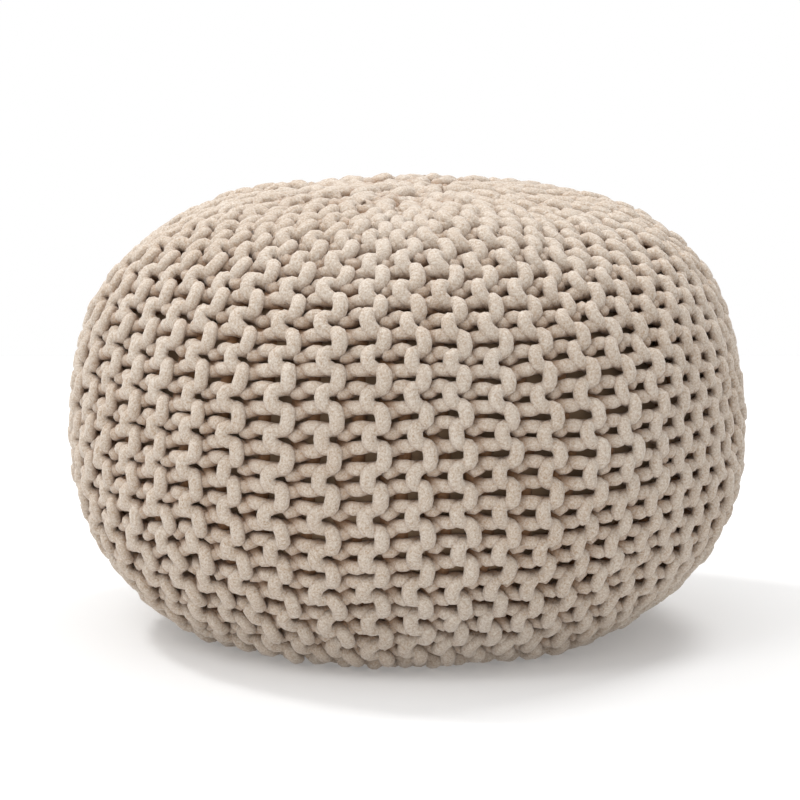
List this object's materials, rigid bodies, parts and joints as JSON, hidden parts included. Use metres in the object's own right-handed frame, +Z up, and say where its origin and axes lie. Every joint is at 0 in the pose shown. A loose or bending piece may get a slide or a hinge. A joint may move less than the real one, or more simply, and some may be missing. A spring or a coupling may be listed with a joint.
{
  "type": "knitted pouf",
  "caption": "Round filled floor pouf with a low crown, drawn-in underside and chunky ribs running from pole to pole.",
  "frame": {"origin": "bottom centre of the bounding box, on the floor under the middle of the pouf", "axes": "+Z up, -Y towards the front as pictured, X to the right"},
  "size_m": [0.508, 0.5078, 0.338],
  "materials": {
    "cotton_rope": "matte braided cotton rope, undyed beige"
  },
  "bodies": {
    "root": {"knitted_pouf": "cotton_rope"}
  },
  "joints": []
}
